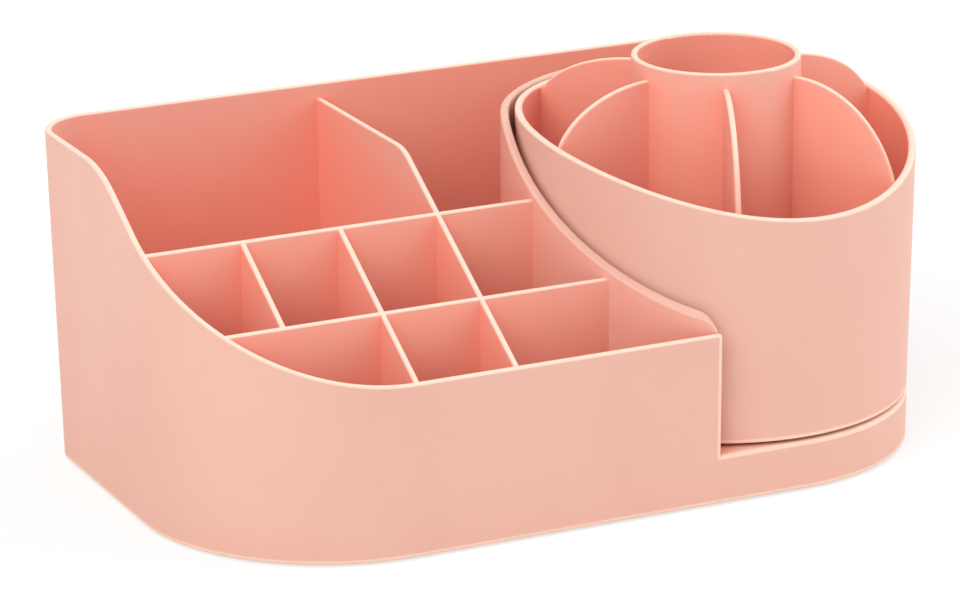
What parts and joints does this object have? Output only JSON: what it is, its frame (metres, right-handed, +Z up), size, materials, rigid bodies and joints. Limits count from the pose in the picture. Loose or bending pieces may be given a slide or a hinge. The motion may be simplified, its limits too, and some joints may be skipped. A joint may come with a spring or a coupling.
{
  "type": "rotating makeup organizer",
  "caption": "Open desktop makeup organizer: a tray of upright compartments with a sloping front, and beside it a turning drum with fins round a brush tube.",
  "frame": {"origin": "on the surface that the feet stand on, under the middle of the whole object", "axes": "+X to the right towards the drum, +Y to the back, +Z up"},
  "size_m": [0.2747, 0.1568, 0.1329],
  "materials": {
    "pink_plastic": "satin salmon pink polypropylene, fine moulded texture",
    "acetal": "natural white acetal",
    "nylon": "natural nylon",
    "plated_steel": "zinc-plated steel",
    "bearing_steel": "polished steel",
    "foot_rubber": "grey soft rubber"
  },
  "bodies": {
    "tray": {"tray_shell": "pink_plastic", "lower_race": "acetal", "pivot_bush": "acetal", "thrust_washer": "nylon", "steel_washer": "plated_steel", "pivot_screw": "plated_steel", "foot_front_left": "foot_rubber", "foot_back_left": "foot_rubber", "foot_back_right": "foot_rubber", "foot_front_right": "foot_rubber", "foot_front_centre": "foot_rubber"},
    "drum": {"rotating_drum": "pink_plastic", "upper_race": "acetal", "hub_cap": "pink_plastic"},
    "bearing": {"ball_cage": "acetal", "bearing_balls": "bearing_steel"}
  },
  "joints": [
    {"name": "drum_spin", "type": "hinge", "parent": "tray", "child": "drum", "pos_m": [0.07089, -0.01232, 0], "axis": [0, 0, 1], "continuous": true},
    {"name": "bearing_spin", "type": "hinge", "parent": "tray", "child": "bearing", "pos_m": [0.07089, -0.01232, 0], "axis": [0, 0, 1], "continuous": true}
  ],
  "couplings": [
    {"joint": "bearing_spin", "follows": "drum_spin", "ratio": 0.5}
  ]
}
